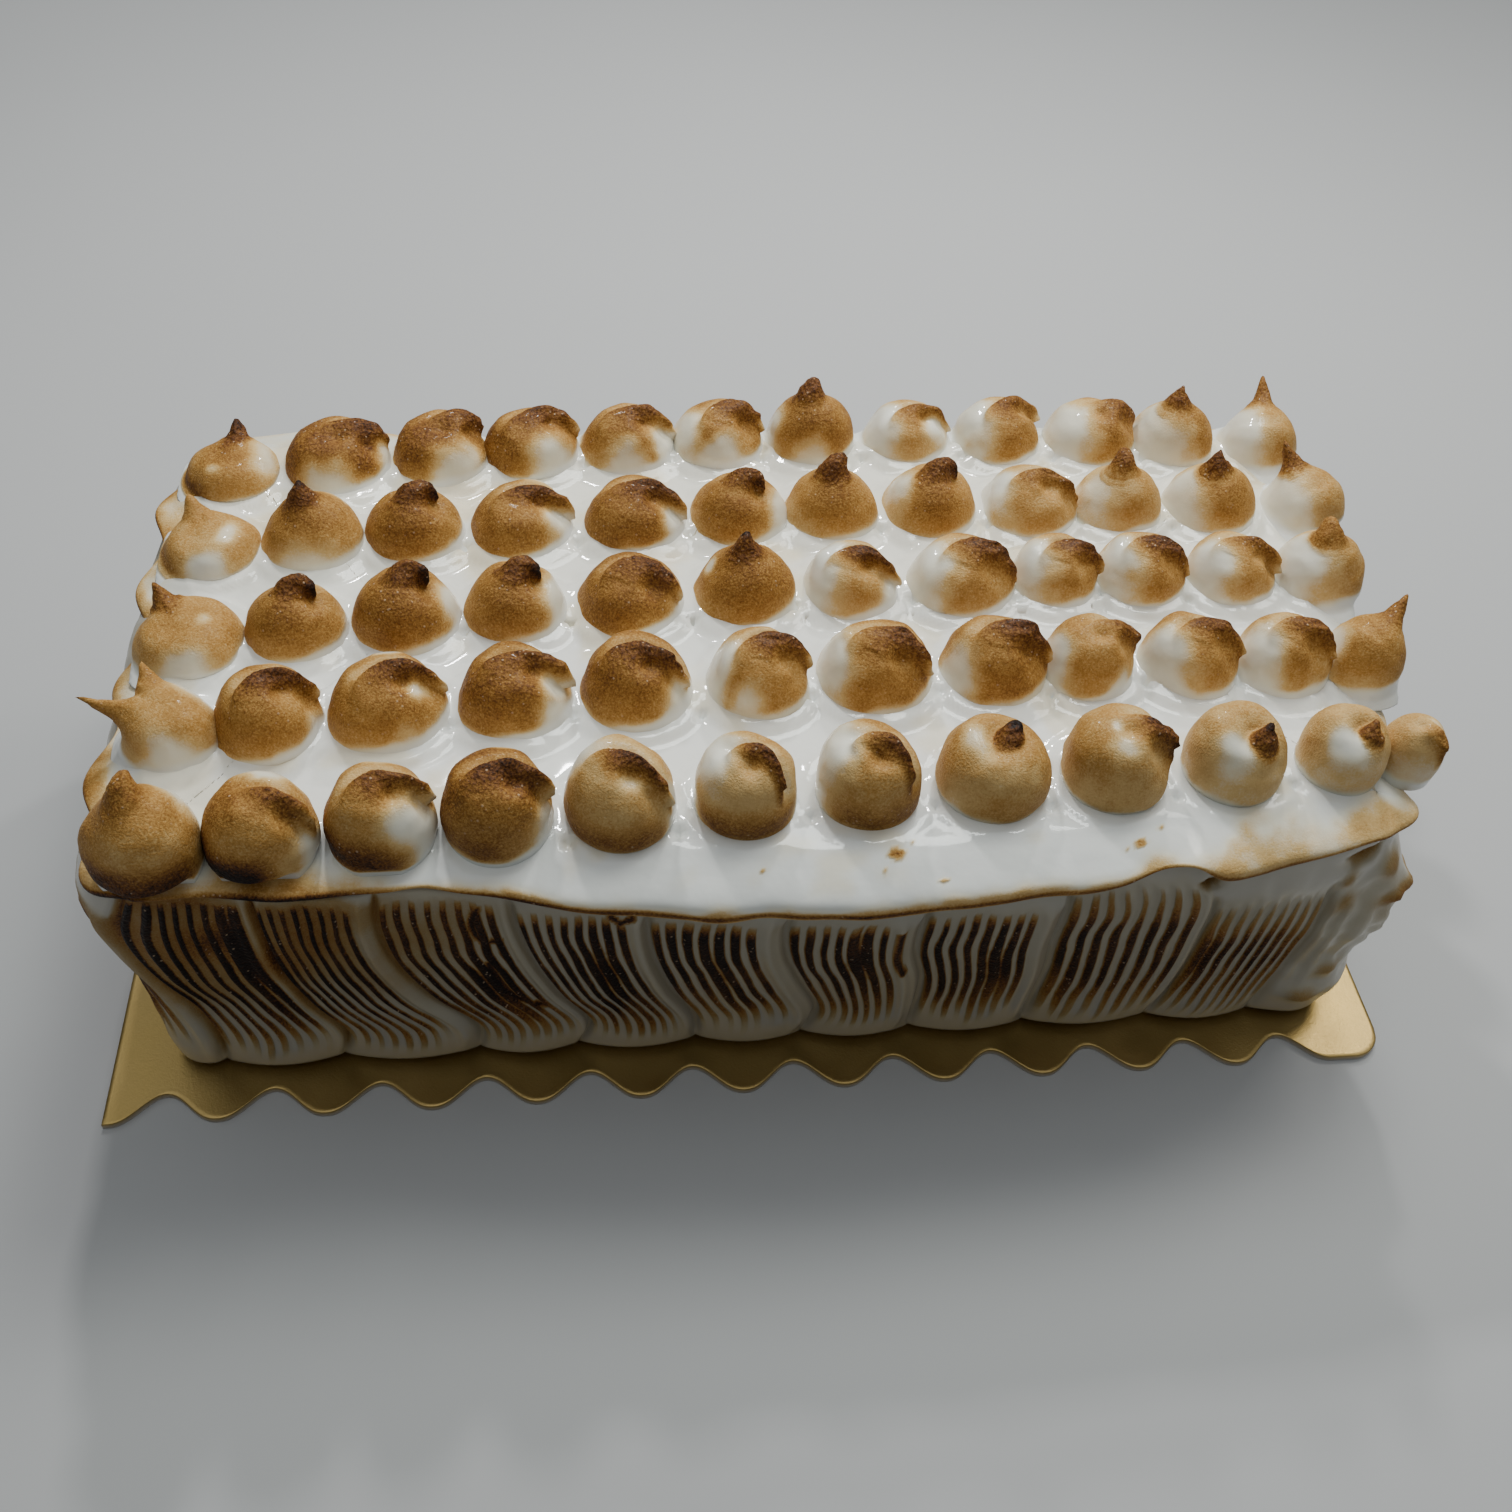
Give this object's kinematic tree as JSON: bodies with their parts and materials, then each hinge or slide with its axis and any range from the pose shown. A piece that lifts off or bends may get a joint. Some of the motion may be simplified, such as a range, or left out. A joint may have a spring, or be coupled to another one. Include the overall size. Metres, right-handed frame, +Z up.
{
  "type": "baked alaska loaf",
  "caption": "Whole loaf-shaped baked alaska: combed meringue sides, an overhanging top slab and rows of torched piped meringue kisses, on a scalloped gold cake card.",
  "frame": {"origin": "centre of the card's underside, where the part rests", "axes": "+Z up, +X along the loaf to the right, +Y to the back"},
  "size_m": [0.3319, 0.1726, 0.1078],
  "materials": {
    "gold_card": "gold foil laminated on card, satin, with fine handling marks",
    "combed_meringue": "Italian meringue combed into fine ribs, ridges torched dark brown, grooves off-white",
    "spread_meringue": "glossy wet-looking off-white meringue, rim toasted golden to dark brown",
    "torched_meringue": "piped meringue, glossy white at the foot, torched golden to burnt brown above, fine sugary grain"
  },
  "bodies": {
    "root": {"cake_card": "gold_card", "combed_loaf": "combed_meringue", "top_slab": "spread_meringue", "kiss_row_1": "torched_meringue", "kiss_row_2": "torched_meringue", "kiss_row_3": "torched_meringue", "kiss_row_4": "torched_meringue", "kiss_row_5": "torched_meringue"}
  },
  "joints": []
}
